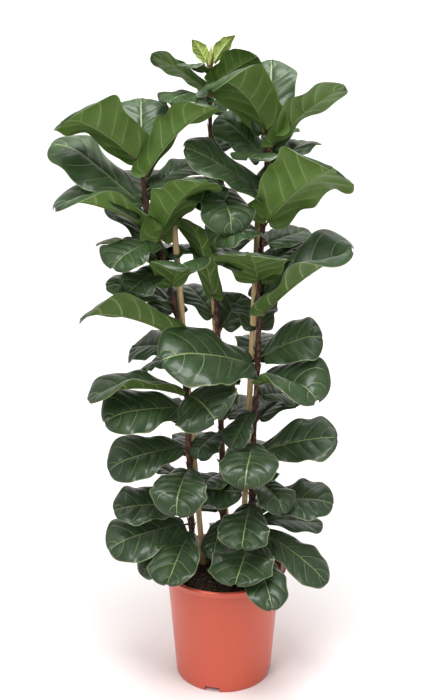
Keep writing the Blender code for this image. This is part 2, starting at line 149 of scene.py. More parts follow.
# Inner and back leaves that the frame leaves out: stem, then the same values.
FILLERS = (
    ("left", 72.5, (-11.0, -3.0, 4.5), 7.5, 20, 10, -20),
    ("left", 92.0, (9.0, 4.0, 4.5), 7.0, 20, 15, 20),
    ("left", 28.0, (-9.0, -6.0, -5.0), 7.5, 25, 10, -10),
    ("right", 67.0, (-1.0, 9.5, 4.0), 8.5, 20, 10, 0),
    ("rear", 66.0, (4.5, 4.0, 6.0), 8.0, 15, 10, 20),
    ("right", 53.0, (-4.0, -4.5, -6.0), 6.0, 20, 10, 0),
    ("rear", 47.0, (-4.5, -6.0, -2.0), 7.0, 20, 10, 0),
    ("right", 55.0, (6.0, 5.0, -1.5), 8.0, 20, 10, 20),
    ("right", 39.5, (5.5, -8.0, -2.5), 7.5, 20, 15, 0),
    ("right", 82.5, (8.0, 5.5, 1.5), 8.0, 15, 10, 15),
    ("right", 98.5, (3.0, 7.5, 4.0), 6.5, 20, 10, 0),
    ("rear", 111.0, (-4.0, -5.0, 1.5), 5.5, 35, 10, 0),
    ("left", 38.0, (-9.5, 4.0, 3.0), 7.5, 20, 15, 10),
    ("rear", 68.0, (-6.0, 7.0, 6.0), 8.0, 20, 10, 0),
    ("left", 90.0, (-1.5, 9.5, 5.0), 9.0, 25, 15, 0),
    ("left", 70.0, (-6.0, 9.0, 4.0), 9.0, 25, 15, 0),
    ("left", 50.0, (-8.0, 8.5, 1.0), 9.0, 25, 15, 0),
    ("left", 34.0, (-6.0, 11.0, -1.0), 9.0, 25, 15, 0),
    ("right", 93.5, (8.0, 7.0, 7.0), 9.0, 25, 15, 0),
    ("right", 73.0, (6.0, 10.5, 3.0), 9.5, 25, 15, 0),
    ("right", 50.0, (7.5, 9.5, 2.0), 9.0, 25, 15, 0),
    ("right", 31.5, (6.0, 12.0, -3.0), 9.0, 25, 15, 0),
    ("rear", 30.0, (-8.0, 10.0, -2.0), 9.0, 25, 15, 0),
    ("rear", 88.0, (-8.0, 9.0, 5.0), 9.5, 25, 15, 0),
    ("rear", 104.0, (2.0, 9.0, 6.0), 8.0, 25, 15, 0),
    ("rear", 49.0, (9.0, 7.0, 1.5), 9.0, 25, 15, 0),
    ("left", 83.5, (-6.5, -7.0, -3.0), 8.5, 30, 10, -15),
    ("left", 78.5, (-5.5, -4.5, -3.0), 7.0, 30, 10, -20),
    ("rear", 89.0, (-8.0, -3.0, 2.0), 8.5, 30, 10, 10),
    ("rear", 82.0, (4.5, -6.0, -3.5), 8.5, 30, 10, -10),
    ("right", 85.0, (-8.0, -5.0, 0.5), 9.5, 30, 10, -15),
    ("rear", 94.0, (-1.5, -7.0, -3.5), 8.0, 30, 10, 0),
    ("right", 97.5, (-3.5, -7.0, 0.5), 8.0, 35, 10, 0),
    ("right", 78.5, (8.5, 4.5, 4.0), 8.5, 20, 10, 10),
    ("rear", 57.0, (-0.5, -6.5, 1.0), 8.0, 25, 10, 0),
    ("rear", 78.0, (-8.0, 3.0, 4.0), 9.0, 20, 10, 10),
    ("left", 61.5, (-7.0, 5.5, -2.0), 8.5, 25, 10, -15),
    ("rear", 38.5, (-3.5, -7.0, 0.5), 7.5, 25, 10, 0),
    ("rear", 50.0, (-2.0, 10.0, 2.0), 9.0, 20, 10, 0),
    ("rear", 33.5, (3.5, 10.0, 0.0), 8.5, 20, 10, 0),
    ("rear", 25.0, (1.5, 10.5, -3.0), 8.5, 20, 10, 0),
    ("left", 62.0, (1.5, 10.0, 3.0), 9.0, 20, 10, 0),
    ("left", 43.0, (0.5, 10.5, 1.0), 8.5, 20, 10, 0),
    ("right", 61.0, (1.0, 10.5, 3.0), 9.0, 20, 10, 0),
    ("right", 36.0, (2.0, 10.5, 0.5), 8.0, 20, 10, 0),
    ("left", 80.0, (3.0, 9.5, 1.0), 8.5, 20, 10, 0),
)

# Half width along the blade, as shares of the leaf's own half width.
OUTLINE = ((0.0, 0.56), (0.10, 0.66), (0.22, 0.70), (0.34, 0.77), (0.48, 0.90), (0.62, 0.99),
           (0.74, 1.0), (0.86, 0.93), (1.0, 0.76))
# The same for the plainer leaves low on a stem.
PLAIN_OUTLINE = ((0.0, 0.22), (0.10, 0.44), (0.22, 0.62), (0.34, 0.78), (0.48, 0.92), (0.62, 1.0),
                 (0.74, 0.99), (0.86, 0.90), (1.0, 0.74))
# New leaves are pointed.
NEW_OUTLINE = ((0.0, 0.30), (0.10, 0.55), (0.22, 0.84), (0.34, 0.98), (0.48, 1.0), (0.62, 0.88),
               (0.74, 0.66), (0.86, 0.40), (1.0, 0.12))
# Leaves no wider than this are new; the others' shapes and colours go by height. All in cm.
NEW_LEAF_WIDTH = 4.0
PLAIN_BELOW = 45.0
FIDDLE_ABOVE = 80.0
MIDDLE_ABOVE = 55
BRIGHT_ABOVE = 82
FILLER_SEED = 100
# Shares of a blade's length over which its base and tip round off, and the lobes' sweep.
BASE_ROUNDING = 0.07
TIP_ROUNDING = 0.22
LOBE_SWEEP = 0.15
PETIOLE_LENGTH = 0.011
RIB_RADIUS = 0.0019
RIB_TAPER = 0.0015
RIB_END = 0.93

# Pot: the body's outer radius at the top and at the base, its lip, the notches cut in its foot and
# the discs of painted shade that stand for its drain holes.
BODY_TOP = 0.108
BODY_BASE = 0.091
LIP_HEIGHT = 0.0125
POT_STEPS = 144
FOOT_STEPS = 26
NOTCHES = 4
NOTCH_FIRST_BEARING = -104.0
DRAIN_HOLES = 5
DRAIN_RADIUS = 0.006
DRAIN_CIRCLE = 0.055

# Soil: how far its middle stands above its edge, and what lies in it.
SOIL_CROWN = 0.004
FIBRES = 260
CRUMBS = 620
PERLITE_GRAINS = 40

# Side veins: their spacing, how far and how sharply they rise to the edge, the offset of one
# side from the other, and how they sway.
VEIN_STEP = 0.185
VEIN_RISE = 0.25
VEIN_CURVE = 1.35
VEIN_OFFSET = 0.4
VEIN_SWAY = 0.022
SWAY_BEATS = 12.0
SWAY_SIDE = 2.1
SWAY_EDGE = 1.5


# Camera: focal length in mm, place in metres and degrees it looks down.
CAMERA_LENS = 51.4
CAMERA_PLACE = (-0.004, -1.70, 1.14)
CAMERA_TILT = 16.4

COLOUR = {"subtype": "COLOR", "size": 3, "min": 0.0, "max": 1.0}


class FigPotSettings(bpy.types.PropertyGroup):
    colour: bpy.props.FloatVectorProperty(
        name="Colour", description="Plastic colour",
        default=(0.60, 0.094, 0.048), **COLOUR)
    wall: bpy.props.FloatProperty(
        name="Wall", description="Wall thickness", default=0.0025, unit="LENGTH")
    foot_height: bpy.props.FloatProperty(
        name="Foot height", description="Height of the foot ring and its notches", default=0.010,
        unit="LENGTH")
    notch_width: bpy.props.FloatProperty(
        name="Notch width", description="Width of a drainage notch", default=0.028, unit="LENGTH")


class FigLeafSettings(bpy.types.PropertyGroup):
    upper: bpy.props.FloatVectorProperty(
        name="Upper side", description="Colour of the upper side",
        default=(0.013, 0.036, 0.011), **COLOUR)
    under: bpy.props.FloatVectorProperty(
        name="Underside", description="Colour of the underside",
        default=(0.083, 0.165, 0.024), **COLOUR)
    vein: bpy.props.FloatVectorProperty(
        name="Vein", description="Colour of the veins",
        default=(0.19, 0.25, 0.090), **COLOUR)
    young: bpy.props.FloatVectorProperty(
        name="Young leaf", description="Colour of a new leaf",
        default=(0.36, 0.46, 0.10), **COLOUR)
    rows: bpy.props.IntProperty(
        name="Rows", description="Faces along a blade", default=52, min=12, max=90)
    columns: bpy.props.IntProperty(
        name="Columns", description="Faces across a blade", default=30, min=8, max=60)
    thickness: bpy.props.FloatProperty(
        name="Thickness", description="Blade thickness", default=0.0009, unit="LENGTH")
    puff: bpy.props.FloatProperty(
        name="Puff", description="Height of the blade between two veins", default=0.0016,
        unit="LENGTH")
    wave: bpy.props.FloatProperty(
        name="Wave", description="Depth of the wavy edge, as a share of the width", default=0.05)


class FigStageSettings(bpy.types.PropertyGroup):
    floor: bpy.props.FloatVectorProperty(
        name="Floor", description="Floor and backdrop colour",
        default=(0.90, 0.86, 0.857), **COLOUR)
    key: bpy.props.FloatProperty(
        name="Key light", description="Power of the key light", default=30.0, unit="POWER")
    fill: bpy.props.FloatProperty(
        name="Fill light", description="Power of the fill light", default=10.0, unit="POWER")


# --- shader maths ---------------------------------------------------------------------------

class Value:
    """A node socket that takes part in Python expressions."""

    def __init__(self, shader, socket):
        self.shader = shader
        self.socket = socket

    def maths(self, operation, *others):
        return self.shader.node("ShaderNodeMath", {"operation": operation}, (self, *others))

    def __add__(self, other):
        return self.maths("ADD", other)

    __radd__ = __add__

    def __mul__(self, other):
        return self.maths("MULTIPLY", other)

    __rmul__ = __mul__

    def __sub__(self, other):
        return self.maths("SUBTRACT", other)

    def __rsub__(self, other):
        return self.shader.node("ShaderNodeMath", {"operation": "SUBTRACT"}, (other, self))

    def __truediv__(self, other):
        return self.maths("DIVIDE", other)

    def __pow__(self, other):
        return self.maths("POWER", other)

    def __abs__(self):
        return self.maths("ABSOLUTE")

    def fraction(self):
        return self.maths("FRACT")

    def least(self, other):
        return self.maths("MINIMUM", other)

    def above(self, other):
        return self.maths("GREATER_THAN", other)


class Shader:
    """One procedural material on a Principled BSDF."""

    def __init__(self, name):
        self.material = bpy.data.materials.new(name)
        self.material.use_nodes = True
        self.tree = self.material.node_tree
        self.surface = self.tree.nodes["Principled BSDF"]

    def node(self, kind, settings=None, values=(), output=0):
        made = self.tree.nodes.new(kind)
        for key, value in (settings or {}).items():
            setattr(made, key, value)
        pairs = values.items() if isinstance(values, dict) else enumerate(values)
        for key, value in pairs:
            self.put(made.inputs[key], value)
        return Value(self, made.outputs[output])

    def put(self, socket, value):
        if isinstance(value, Value):
            self.tree.links.new(value.socket, socket)
        else:
            socket.default_value = value

    def set(self, **sockets):
        for key, value in sockets.items():
            name = key.replace("_", " ")
            self.put(self.surface.inputs[name], value)
        return self

    def place(self):
        return self.node("ShaderNodeTexCoord", output="Object")

    def uv(self, name):
        """The two coordinates of a UV map, along and across."""
        made = self.node("ShaderNodeUVMap", {"uv_map": name})
        across = self.node("ShaderNodeSeparateXYZ", None, (made,), output=1)
        return self.node("ShaderNodeSeparateXYZ", None, (made,), output=0), across

    def noise(self, scale, detail=4.0, vector=None, roughness=0.5):
        return self.node("ShaderNodeTexNoise", None,
                         {"Vector": vector or self.place(), "Scale": scale, "Detail": detail,
                          "Roughness": roughness})

    def streaks(self, scale, detail, roughness=0.5):
        """Noise drawn out by a scale for each axis."""
        place = self.node("ShaderNodeMapping", None, {"Vector": self.place(), "Scale": scale})
        return self.noise(1.0, detail, place, roughness)

    def mix(self, mask, first, second):
        made = self.tree.nodes.new("ShaderNodeMix")
        made.data_type = "RGBA"
        self.put(made.inputs[0], mask)
        for socket, value in ((made.inputs[6], first), (made.inputs[7], second)):
            if not isinstance(value, Value) and len(value) == 3:
                value = (*value, 1.0)
            self.put(socket, value)
        return Value(self, made.outputs[2])

    def ramp(self, value, low, high):
        """0 below low, 1 above high, smooth between."""
        return self.node("ShaderNodeMapRange", {"interpolation_type": "SMOOTHSTEP"},
                         {0: value, 1: low, 2: high, 3: 0.0, 4: 1.0})

    def bump(self, height, strength, distance):
        return self.node("ShaderNodeBump", None,
                         {"Height": height, "Strength": strength, "Distance": distance})


def shade(colour, factor):
    return tuple(min(1.0, c * factor) for c in colour)


def blend(first, second, share):
    return tuple(a + (b - a) * share for a, b in zip(first, second))


def vein_masks(shader, width=1.0):
    """Masks of a leaf's midrib, side veins, net, margin and the swellings between veins."""
    along, across = shader.uv("leaf")
    side = across.above(0.5)
    edge = abs(across * 2.0 - 1.0)
    midrib = 1.0 - shader.ramp(edge, 0.010, 0.034)
    course = along - edge ** VEIN_CURVE * VEIN_RISE + side * (VEIN_STEP * VEIN_OFFSET)
    sway = along * SWAY_BEATS + side * SWAY_SIDE - edge * SWAY_EDGE
    course = course + sway.maths("SINE") * VEIN_SWAY
    cell = ((course + 1.0) / VEIN_STEP).fraction()
    gap = cell.least(1.0 - cell) * VEIN_STEP
    reach = 1.0 - shader.ramp(edge, 0.70, 0.92)
    veins = (1.0 - shader.ramp(gap, 0.0020 * width, 0.0068 * width)) * reach
    spread = shader.node("ShaderNodeCombineXYZ", None, (course * 1.6, edge, side * 5.0))
    net = shader.node("ShaderNodeTexVoronoi", {"feature": "DISTANCE_TO_EDGE"},
                      {"Vector": spread, "Scale": 17.0})
    fine = 1.0 - shader.ramp(net, 0.0, 0.10)
    margin = shader.ramp(edge, 0.955, 0.985)
    swell = shader.ramp(gap, 0.004, VEIN_STEP * 0.40) * shader.ramp(edge, 0.02, 0.22)
    return midrib, veins, fine, margin, swell


def leaf_upper(name, base, vein, roughness, fine_share):
    shader = Shader(name)
    midrib, veins, fine, margin, swell = vein_masks(shader)
    cloudy = shader.ramp(shader.noise(26.0, 3.0), 0.35, 0.70)
    colour = shader.mix(cloudy * 0.8, base, blend(shade(base, 1.55), vein, 0.06))
    # painted shade: darker in the grooves along the side veins and the midrib, where the blade dips
    # between its swellings
    colour = shader.mix((1.0 - swell) * 0.45, colour, shade(base, 0.62))
    colour = shader.mix(fine * fine_share, colour, blend(base, vein, 0.40))
    colour = shader.mix(veins * 0.75, colour, vein)
    colour = shader.mix(margin * 0.55, colour, blend(vein, (0.40, 0.42, 0.22), 0.4))
    colour = shader.mix(midrib * 0.95, colour, shade(vein, 1.25))
    speck = shader.noise(420.0, 2.0)
    height = swell * 1.8 + fine * -0.35 + veins * -0.8 + shader.noise(90.0, 3.0) * 0.5
    shader.set(Base_Color=colour, Roughness=roughness + speck * 0.14,
               Normal=shader.bump(height, 0.45, 0.0008))
    return shader.set(Specular_IOR_Level=0.4, Coat_Weight=0.22, Coat_Roughness=0.15).material


def leaf_under(name, base, vein, roughness):
    shader = Shader(name)
    midrib, veins, fine, margin, swell = vein_masks(shader, 1.6)
    cloudy = shader.ramp(shader.noise(30.0, 3.0), 0.3, 0.75)
    colour = shader.mix(cloudy, shade(base, 1.06), shade(base, 0.78))
    # painted shade: darker where the blade sinks between the raised veins
    colour = shader.mix(swell * 0.5, colour, shade(base, 0.70))
    colour = shader.mix(fine * 0.5, colour, blend(base, vein, 0.6))
    colour = shader.mix(veins, colour, shade(vein, 1.35))
    colour = shader.mix(margin * 0.5, colour, shade(vein, 1.3))
    colour = shader.mix(midrib, colour, shade(vein, 1.4))
    height = swell * -1.6 + fine * 0.3 + veins * 1.0 + shader.noise(120.0, 3.0) * 0.3
    shader.set(Base_Color=colour, Roughness=roughness + shader.noise(300.0, 2.0) * 0.12,
               Normal=shader.bump(height, 0.5, 0.0008))
    return shader.material


def rib_material(name, vein, foot):
    shader = Shader(name)
    along, _ = shader.uv("leaf")
    colour = shader.mix(shader.ramp(along, 0.0, 0.35), foot, shade(vein, 1.2))
    return shader.set(Base_Color=colour, Roughness=0.42 + shader.noise(200.0) * 0.1).material


def plastic_material(colour):
    shader = Shader("pot_plastic")
    flow = shader.streaks((9.0, 9.0, 3.0), 3.0)
    tone = shader.mix(flow * 0.35, colour, shade(colour, 0.86))
    scuff = shader.ramp(shader.streaks((60.0, 60.0, 140.0), 6.0), 0.66, 0.74)
    tone = shader.mix(scuff * 0.16, tone, shade(colour, 1.35))
    shader.set(Base_Color=tone, Roughness=0.26 + flow * 0.10 + scuff * 0.2,
               Normal=shader.bump(shader.noise(900.0, 2.0), 0.06, 0.0003))
    return shader.set(Specular_IOR_Level=0.5).material


def peat_material(name, dark, light):
    shader = Shader(name)
    grain = shader.noise(160.0, 8.0, roughness=0.7)
    fibre = shader.streaks((320.0, 60.0, 200.0), 4.0)
    colour = shader.mix(shader.ramp(grain, 0.42, 0.72), dark, light)
    colour = shader.mix(shader.ramp(fibre, 0.60, 0.72) * 0.5, colour, shade(light, 2.2))
    return shader.set(Base_Color=colour, Roughness=0.88 + grain * 0.1,
                      Normal=shader.bump(grain, 0.9, 0.003)).material


def wood_material():
    shader = Shader("stake_wood")
    grain = shader.streaks((420.0, 420.0, 14.0), 5.0)
    patch = shader.streaks((30.0, 30.0, 5.0), 3.0)
    colour = shader.mix(shader.ramp(grain, 0.35, 0.7), (0.62, 0.42, 0.20), (0.80, 0.62, 0.36))
    colour = shader.mix(shader.ramp(patch, 0.52, 0.75) * 0.6, colour, (0.44, 0.27, 0.12))
    knot = shader.ramp(shader.streaks((70.0, 70.0, 26.0), 2.0), 0.70, 0.76)
    colour = shader.mix(knot * 0.8, colour, (0.20, 0.10, 0.04))
    return shader.set(Base_Color=colour, Roughness=0.55 + grain * 0.15,
                      Normal=shader.bump(grain, 0.35, 0.0006)).material


def bark_material():
    shader = Shader("stem_bark")
    flake = shader.streaks((170.0, 170.0, 55.0), 6.0, 0.65)
    ring = shader.streaks((12.0, 12.0, 420.0), 3.0)
    colour = shader.mix(shader.ramp(flake, 0.38, 0.68), (0.030, 0.012, 0.010), (0.13, 0.055, 0.035))
    colour = shader.mix(shader.ramp(ring, 0.58, 0.70) * 0.45, colour, (0.24, 0.13, 0.075))
    return shader.set(Base_Color=colour, Roughness=0.72 + flake * 0.15,
                      Normal=shader.bump(flake + ring * 0.6, 0.8, 0.0015)).material


def sheath_material(name, dark, light):
    shader = Shader(name)
    fibre = shader.streaks((300.0, 300.0, 30.0), 4.0)
    colour = shader.mix(shader.ramp(fibre, 0.38, 0.66), dark, light)
    return shader.set(Base_Color=colour, Roughness=0.62 + fibre * 0.2,
                      Normal=shader.bump(fibre, 0.5, 0.0006)).material


def tie_material():
    shader = Shader("tie_wire")
    twist = shader.noise(500.0, 2.0)
    colour = shader.mix(twist, (0.020, 0.030, 0.018), (0.05, 0.06, 0.035))
    return shader.set(Base_Color=colour, Roughness=0.5 + twist * 0.2).material


def stage_material(colour):
    shader = Shader("studio_paper")
    cloud = shader.noise(2.0, 2.0)
    tone = shader.mix(cloud * 0.15, colour, shade(colour, 0.98))
    return shader.set(Base_Color=tone, Roughness=0.9).material


# --- shared mesh work -----------------------------------------------------------------------

def belongs(item, slot, *nodes):
    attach(item, BODY)
    if nodes:
        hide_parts(*nodes)
    return item


def smooth_through(points, z):
    """A smooth curve through (x, y, z) points that rise in z, read at one height."""
    last = len(points) - 2
    k = max(0, min(last, sum(1 for p in points[1:-1] if p[2] <= z)))
    low, high = points[k], points[k + 1]
    before, after = points[max(k - 1, 0)], points[min(k + 2, len(points) - 1)]
    span = high[2] - low[2]
    t = (z - low[2]) / span
    value = []
    for axis in range(2):
        slope_low = (high[axis] - before[axis]) / (high[2] - before[2]) * span
        slope_high = (after[axis] - low[axis]) / (after[2] - low[2]) * span
        value.append((2 * t**3 - 3 * t**2 + 1) * low[axis] + (t**3 - 2 * t**2 + t) * slope_low
                     + (3 * t**2 - 2 * t**3) * high[axis] + (t**3 - t**2) * slope_high)
    return value


def level_out(bearing):
    return Vector((math.cos(bearing), math.sin(bearing), 0.0))


def stem_point(name, z):
    points = STEMS[name]
    x, y = smooth_through(points, max(z / CM, points[0][2]))
    return Vector((x * CM, y * CM, z))


def stem_top(name):
    return STEMS[name][-1][2] * CM


def stem_radius(name, z):
    share = max(0.0, min(1.0, (z - SOIL_LINE) / (stem_top(name) - SOIL_LINE)))
    return STEM_BASE_RADIUS + (STEM_TOP_RADIUS - STEM_BASE_RADIUS) * share


def stake_ends(name):
    (x, y), top = STAKES[name]
    surface = Vector((x * CM, y * CM, SOIL_LINE))
    head = Vector(top) * CM
    return surface - (head - surface).normalized() * STAKE_DEPTH, head


def add_tube(build, place, rings, sides, material=0):
    """A closed tube in build: place(along, angle) gives a point of its skin."""
    start = len(build.verts)
    layer = build.loops.layers.uv.get("leaf") or build.loops.layers.uv.new("leaf")
    made = bmesh.ops.create_grid(build, x_segments=rings, y_segments=sides, size=1.0)["verts"]
    shares = {v: ((v.co.x + 1) / 2, (v.co.y + 1) / 2) for v in made}
    faces = {face for v in made for face in v.link_faces}
    for face in faces:
        face.material_index = material
        for loop in face.loops:
            loop[layer].uv = shares[loop.vert]
    for v, (along, around) in shares.items():
        v.co = place(along, around * 2 * math.pi)
    bmesh.ops.remove_doubles(build, verts=made, dist=1e-6)
    build.verts.ensure_lookup_table()
    ring = [v for v in build.verts[start:] if v.is_valid]
    open_edges = [e for e in {e for v in ring for e in v.link_edges} if e.is_boundary]
    caps = bmesh.ops.holes_fill(build, edges=open_edges, sides=0)["faces"]
    for face in caps:
        face.material_index = material
    bmesh.ops.recalc_face_normals(build, faces=list({f for v in ring for f in v.link_faces}))


def turned(profile, steps):
    """A (radius, height) profile spun round the Z axis."""
    build = bmesh.new()
    verts = [build.verts.new((r, 0.0, z)) for r, z in profile]
    edges = [build.edges.new(pair) for pair in zip(verts, verts[1:])]
    bmesh.ops.spin(build, geom=verts + edges, cent=(0, 0, 0), axis=(0, 0, 1),
                   angle=2 * math.pi, steps=steps, use_merge=True)
    bmesh.ops.remove_doubles(build, verts=build.verts, dist=1e-6)
    bmesh.ops.recalc_face_normals(build, faces=build.faces)
    return build


def crease(build, degrees=40.0):
    """Keeps the edges that turn more than this sharp."""
    for edge in build.edges:
        edge.smooth = edge.calc_face_angle(0.0) < math.radians(degrees)
    return build


def to_object(build, name, materials, smooth=True):
    """Turns build into one linked object made of its materials."""
    mesh = bpy.data.meshes.new(name)
    build.to_mesh(mesh)
    build.free()
    for made in materials:
        mesh.materials.append(made)
    for face in mesh.polygons:
        face.use_smooth = smooth
    item = bpy.data.objects.new(name, mesh)
    bpy.context.scene.collection.objects.link(item)
    return item


def tube(place, rings, sides, name, material):
    build = bmesh.new()
    add_tube(build, place, rings, sides)
    return to_object(build, name, [material])


# --- leaves ---------------------------------------------------------------------------------

def unit(values):
    return np.clip(values, 0, 1)


class Blade:
    """One leaf's surface: a spine that arches in the upright plane of its reach."""

    def __init__(self, values, seed, settings):
        stem, height, reach, width, arch, fold, roll = values
        draw = random.Random(seed)
        self.fiddle = (height - PLAIN_BELOW) / (FIDDLE_ABOVE - PLAIN_BELOW)
        self.fiddle = min(1.0, max(0.0, self.fiddle + draw.uniform(-0.1, 0.3)))
        height *= CM
        reach = np.array(reach) * CM
        level = math.hypot(reach[0], reach[1])
        self.outward = np.array((reach[0] / level, reach[1] / level, 0.0))
        self.arch = math.radians(max(arch, 1))
        self.rise = math.atan2(reach[2], level) + self.arch / 2
        start = stem_radius(stem, height) - 0.0005
        self.foot = np.array(stem_point(stem, height)) + self.outward * start
        self.length = float(np.linalg.norm(reach)) * (self.arch / 2) / math.sin(self.arch / 2)
        self.petiole = min(PETIOLE_LENGTH, self.length * 0.2)
        self.width = width * CM
        self.fold = math.radians(fold)
        self.roll = math.radians(roll)
        self.puff = settings.puff * min(1.0, width / 9.0)
        self.wave = settings.wave * draw.uniform(0.7, 1.25)
        self.phase = (draw.uniform(0, 2 * math.pi), draw.uniform(0, 2 * math.pi))
        self.beats = draw.uniform(1.6, 2.8)
        self.tip_turn = draw.uniform(-0.9, 0.25)
        self.lean = draw.uniform(-0.05, 0.05)
        self.uneven = draw.uniform(-0.06, 0.06)

    def spine(self, distance, spin_share):
        """Place, direction, side and up at distances along the spine, as rows of vectors."""
        angle = self.rise - self.arch * distance / self.length
        radius = self.length / self.arch
        level = radius * (math.sin(self.rise) - np.sin(angle))
        up = radius * (np.cos(angle) - math.cos(self.rise))
        top = np.array((0.0, 0.0, 1.0))
        place = self.foot + np.outer(level, self.outward) + np.outer(up, top)
        ahead = np.outer(np.cos(angle), self.outward) + np.outer(np.sin(angle), top)
        flat = np.cross(top, self.outward)
        normal = np.cross(ahead, flat)
        spin = self.roll * spin_share
        side = np.outer(np.cos(spin), flat) + normal * np.sin(spin)[:, None]
        return place, ahead, side, np.cross(ahead, side)

    def half_width(self, along):
        marks, fiddle = zip(*OUTLINE)
        plain = tuple(width for _, width in PLAIN_OUTLINE)
        widths = blend(plain, fiddle, self.fiddle)
        if self.width < NEW_LEAF_WIDTH * CM:
            widths = tuple(width for _, width in NEW_OUTLINE)
        body = np.interp(along, marks, widths)
        near = sum(np.interp(unit(along + shift), marks, widths)
                   for shift in (-0.06, -0.03, 0.03, 0.06))
        body = (body + near) / 5
        base = 1 - (1 - unit(along / BASE_ROUNDING)) ** 2
        tip = 1 - unit((along - 1 + TIP_ROUNDING) / TIP_ROUNDING) ** 2.3
        uneven = 1 + 0.035 * np.sin(2 * math.pi * self.beats * 1.7 * along + self.phase[0])
        return self.width / 2 * body * uneven * np.sqrt(base) * tip ** (1 / 2.3)

    def skin(self, along, across):
        """Points of the middle of the blade for arrays of 0 to 1 along and -1 to 1 across."""
        edge = np.abs(across)
        lobe = LOBE_SWEEP * (0.45 + 0.55 * self.fiddle) * edge ** 1.3
        lobe = lobe * unit(1 - along / 0.30) ** 2
        lobe *= np.sqrt(1 - (1 - unit(along / BASE_ROUNDING)) ** 2)
        blade = self.length - self.petiole
        distance = self.petiole + blade * (along - lobe)
        place, ahead, side, up = self.spine(distance, np.ones_like(distance))
        half = self.half_width(along) * np.where(across > 0, 1 + self.uneven, 1 - self.uneven)
        reach = half * across
        fold = self.fold * (1 - 0.85 * unit((along - 0.45) / 0.55) ** 1.4)
        arched = 1.30 - 0.42 * edge
        lift = half * edge * np.sin(fold) * arched
        reach = reach * np.cos(fold) * (1 + 0.06 * edge)
        hand = np.where(across > 0, self.phase[0], self.phase[1])
        ripple = np.sin(2 * math.pi * self.beats * along + hand)
        lift = lift + self.wave * self.width * ripple * edge ** 2.4 * np.sin(math.pi * along) ** 0.5
        lift = lift - 0.05 * self.width * edge ** 3
        lift = lift + self.puff * self.pillow(along, across)
        turn = self.tip_turn * self.width * unit(along - 0.70) ** 2 * 2.6
        sway = self.lean * self.length * along ** 2
        return place + side * (reach + sway)[:, None] + up * (lift + turn)[:, None]

    def pillow(self, along, across):
        """How far the blade stands up between its veins, 0 to 1."""
        edge = np.abs(across)
        side = across > 0
        course = along - edge ** VEIN_CURVE * VEIN_RISE + side * VEIN_STEP * VEIN_OFFSET
        sway = along * SWAY_BEATS + side * SWAY_SIDE - edge * SWAY_EDGE
        course = course + np.sin(sway) * VEIN_SWAY
        cell = np.mod((course + 1.0) / VEIN_STEP, 1.0)
        between = 1 - np.abs(2 * cell - 1) ** 2.2
        groove = unit(edge / 0.12) ** 0.7
        return between * groove * unit((1 - edge) / 0.25) + groove * 0.35

    def normal(self, along, across):
        step = 0.004
        ahead = self.skin(unit(along + step), across)
        ahead = ahead - self.skin(unit(along - step), across)
        aside = self.skin(along, np.clip(across + step, -1, 1))
        aside = aside - self.skin(along, np.clip(across - step, -1, 1))
        made = np.cross(ahead, aside)
        return made / np.maximum(np.linalg.norm(made, axis=1), 1e-12)[:, None]


def add_blade(build, blade, settings):
    """Upper and under skins that meet at the margin, with the underside as material 1."""
    layer = build.loops.layers.uv.get("leaf") or build.loops.layers.uv.new("leaf")
    for level, material in ((1, 0), (-1, 1)):
        made = bmesh.ops.create_grid(build, x_segments=settings.rows,
                                     y_segments=settings.columns, size=1.0)["verts"]
        share = np.array([(v.co.x + 1) / 2 for v in made])
        along = 0.0006 + 0.9988 * (0.5 - 0.5 * np.cos(math.pi * share)) ** 0.9
        across = np.array([v.co.y for v in made])
        across = np.sin(across * math.pi / 2) * 0.35 + across * 0.65
        rim = unit((1 - np.abs(across)) / 0.12) * unit(share / 0.04)
        rim = rim * unit((1 - share) / 0.04)
        points = blade.skin(along, across)
        points += blade.normal(along, across) * (level * settings.thickness / 2 * rim)[:, None]
        where = {v: (a, (c + 1) / 2) for v, a, c in zip(made, along, across)}
        for face in {face for v in made for face in v.link_faces}:
            face.material_index = material
            for loop in face.loops:
                loop[layer].uv = where[loop.vert]
            if level < 0:
                face.normal_flip()
        for v, point in zip(made, points):
            v.co = point
    bmesh.ops.remove_doubles(build, verts=build.verts, dist=1e-7)
    bmesh.ops.dissolve_degenerate(build, dist=1e-7, edges=build.edges)


def add_rib(build, blade):
    """The petiole, which runs on under the blade as a tapering midrib."""
    def place(along, angle):
        distance = np.array([blade.length * RIB_END * along])
        middle, ahead, side, up = (part[0] for part in
                                   blade.spine(distance, unit(distance / blade.petiole)))
        past = max(0.0, (distance[0] - blade.petiole) / (blade.length - blade.petiole))
        scale = min(1.0, 0.35 + blade.width / 0.12)
        radius = (RIB_RADIUS if past <= 0 else RIB_RADIUS - RIB_TAPER * past ** 0.5) * scale
        radius *= 1.0 + 0.35 * max(0.0, 1 - distance[0] / 0.006)
        if past > 0:
            middle = blade.skin(np.array([past]), np.array([0.0]))[0]
            middle = middle - up * radius * min(1.0, past * 8) * 0.75
        return Vector(middle + side * math.cos(angle) * radius + up * math.sin(angle) * radius)

    add_tube(build, place, 22, 8, material=2)


def leaf_object(name, values, seed, settings, materials, cad):
    build = bmesh.new()
    blade = Blade(values, seed, settings)
    add_blade(build, blade, settings)
    for edge in build.edges:
        if len({face.material_index for face in edge.link_faces}) == 2:
            edge.smooth = False
    add_rib(build, blade)
    young = values[3] < NEW_LEAF_WIDTH
    item = to_object(build, f"{name}_blade", materials)
    belongs(item, "young_leaf" if young else "leaf_green", *([name] if cad else []))
    return item


